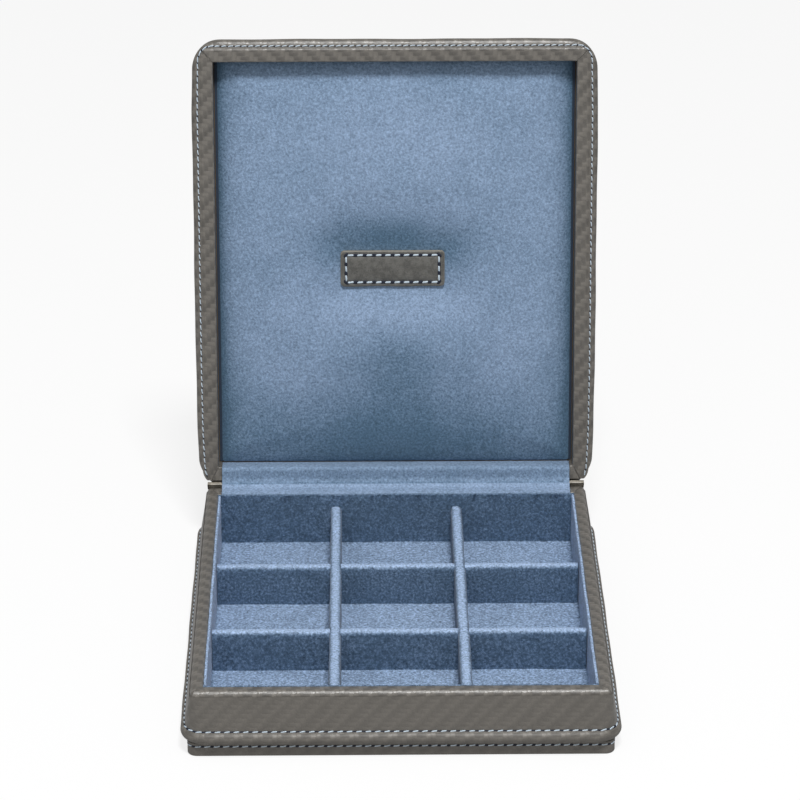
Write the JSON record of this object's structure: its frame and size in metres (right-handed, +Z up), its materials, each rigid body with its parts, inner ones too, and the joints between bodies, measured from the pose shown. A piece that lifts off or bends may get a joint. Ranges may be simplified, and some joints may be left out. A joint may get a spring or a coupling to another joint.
{
  "type": "cufflink box",
  "caption": "Low rectangular leather-covered box with a padded hinged lid, open over a velvet tray of square compartments.",
  "frame": {"origin": "centre of the underside, midway across the tray opening", "axes": "+X to the right, +Y to the hinge side, +Z up"},
  "size_m": [0.1514, 0.2072, 0.1936],
  "materials": {
    "cover_leather": "grey leather with a woven emboss, semi-matt",
    "patch_leather": "smooth grey leather",
    "velvet": "short blue velvet",
    "padding": "wadding",
    "felt": "dark felt",
    "board": "fibreboard",
    "hinge_steel": "thin steel"
  },
  "bodies": {
    "base": {"base_front_board": "board", "base_rear_board": "board", "base_left_board": "board", "base_right_board": "board", "base_leather_cover": "cover_leather", "base_edge_roll": "cover_leather", "plinth_panel": "board", "plinth_leather": "cover_leather", "underside_felt": "felt", "tray_floor_pad": "velvet", "tray_front_liner": "velvet", "tray_rear_liner": "velvet", "tray_left_liner": "velvet", "tray_right_liner": "velvet", "long_divider_left": "velvet", "long_divider_right": "velvet", "cross_divider_front": "velvet", "cross_divider_rear": "velvet", "hinge_leaf_base": "hinge_steel", "hinge_pin": "hinge_steel", "hinge_flap_base": "velvet", "spine_leather_base": "cover_leather"},
    "lid": {"lid_front_board": "board", "lid_rear_board": "board", "lid_left_board": "board", "lid_right_board": "board", "lid_top_board": "board", "lid_leather_cover": "cover_leather", "lid_edge_roll": "cover_leather", "lid_top_padding": "padding", "lid_top_leather": "cover_leather", "lid_lining_board": "board", "lid_cushion": "velvet", "name_patch": "patch_leather", "hinge_leaf_lid": "hinge_steel", "hinge_flap_lid": "velvet", "spine_leather_lid": "cover_leather"}
  },
  "joints": [
    {"name": "lid_hinge", "type": "hinge", "parent": "base", "child": "lid", "pos_m": [0, 0.0853, 0.02415], "axis": [1, 0, 0], "range_deg": [0, 98]}
  ]
}
